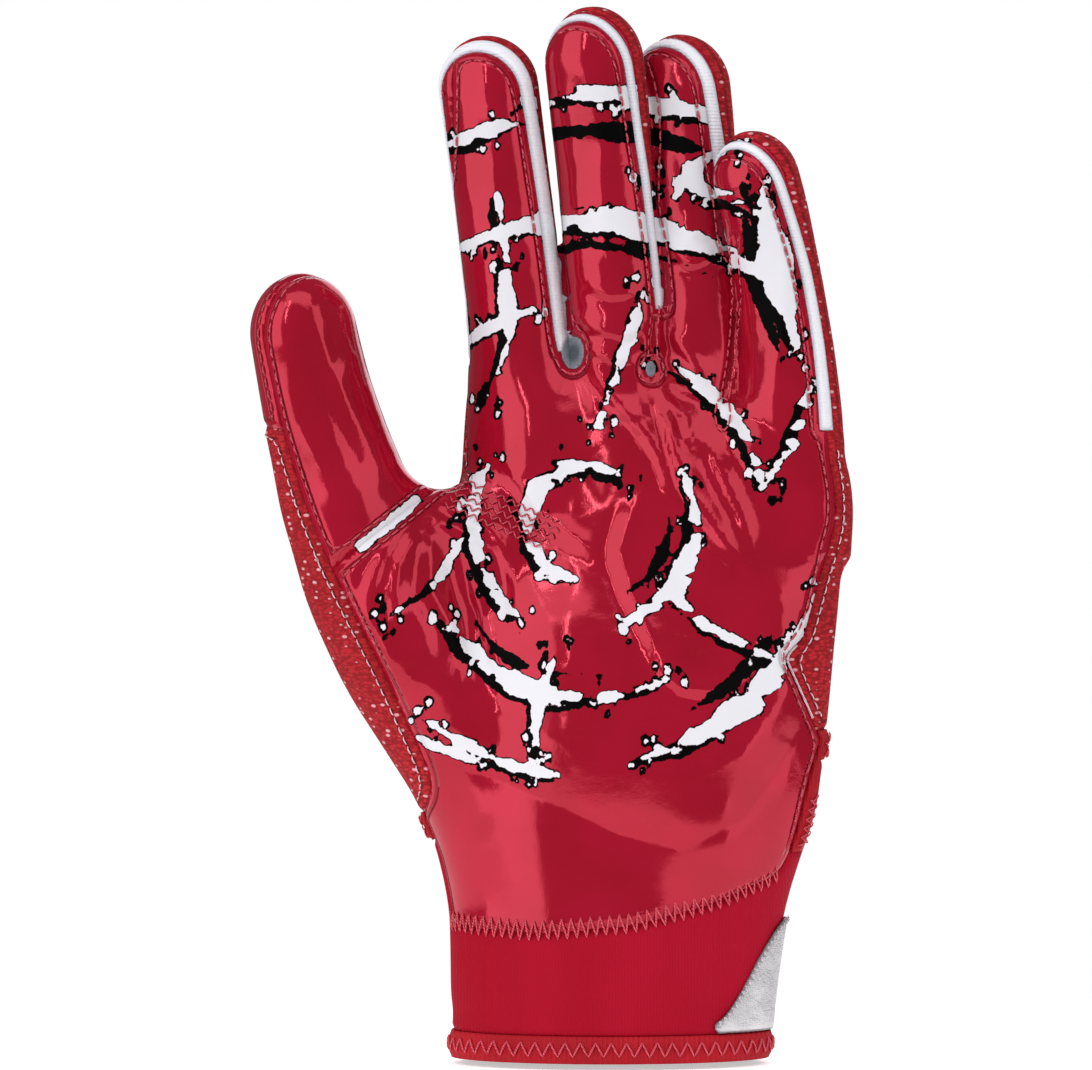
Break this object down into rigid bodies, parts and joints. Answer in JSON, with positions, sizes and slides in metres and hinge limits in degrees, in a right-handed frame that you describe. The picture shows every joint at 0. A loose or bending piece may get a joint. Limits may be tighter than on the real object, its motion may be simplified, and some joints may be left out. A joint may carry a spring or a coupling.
{
  "type": "football receiver glove",
  "caption": "Left-hand sports glove in the shape it has when worn, with a coated grip palm, mesh back, knit finger sidewalls and a pull-on knit cuff.",
  "frame": {"origin": "centre of the wrist opening at the hem's lower edge", "axes": "+Z from the wrist to the fingertips, -Y out of the palm, -X towards the thumb"},
  "size_m": [0.1412, 0.0531, 0.2507],
  "materials": {
    "coated_palm": "glossy tacky coating",
    "red_mesh": "matt stretch mesh",
    "white_knit": "matt knit",
    "cuff_knit": "matt ribbed knit",
    "red_tape": "matt woven tape",
    "silver_film": "satin film on cloth"
  },
  "bodies": {
    "root": {"palm_panel": "coated_palm", "thumb_panel": "coated_palm", "thumb_tip_back": "coated_palm", "back_panel": "red_mesh", "index_sidewall": "white_knit", "middle_sidewall": "white_knit", "ring_sidewall": "white_knit", "little_sidewall": "white_knit", "cuff": "cuff_knit", "cuff_binding": "red_tape", "cuff_hem": "red_tape", "cuff_patch": "silver_film"}
  },
  "joints": []
}
